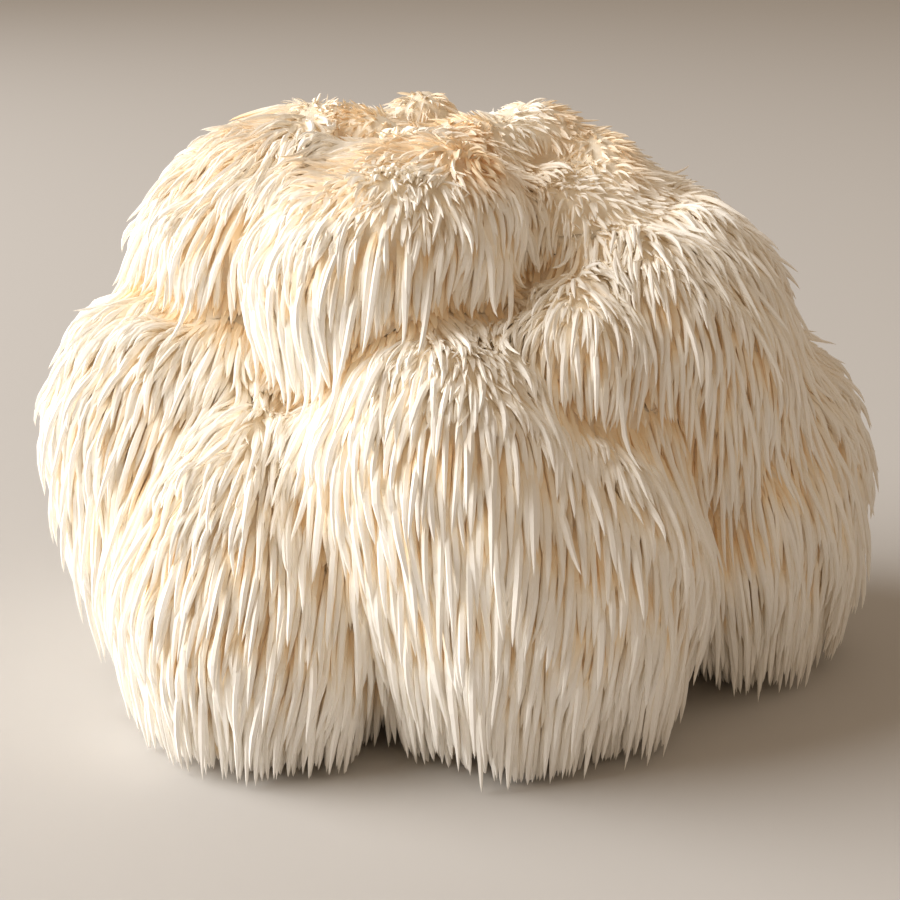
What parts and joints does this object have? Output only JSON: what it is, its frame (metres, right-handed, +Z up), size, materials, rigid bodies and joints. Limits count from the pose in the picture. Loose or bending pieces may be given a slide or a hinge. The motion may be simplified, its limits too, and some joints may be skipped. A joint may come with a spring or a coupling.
{
  "type": "lion's mane mushroom",
  "caption": "Rounded, lobed fungus fruiting body covered in hanging ivory spines, cut off flat underneath to rest on a surface.",
  "frame": {"origin": "centre of the bounding box in plan, on the flat cut underneath", "axes": "+X across the front along the widest extent, -Y towards the viewer, +Z up"},
  "size_m": [0.2096, 0.1738, 0.1445],
  "materials": {
    "spines": "soft, dry, matt ivory fungus spines with a faint satin sheen, ochre in the folds"
  },
  "bodies": {
    "root": {"fruiting_body": "spines"}
  },
  "joints": []
}
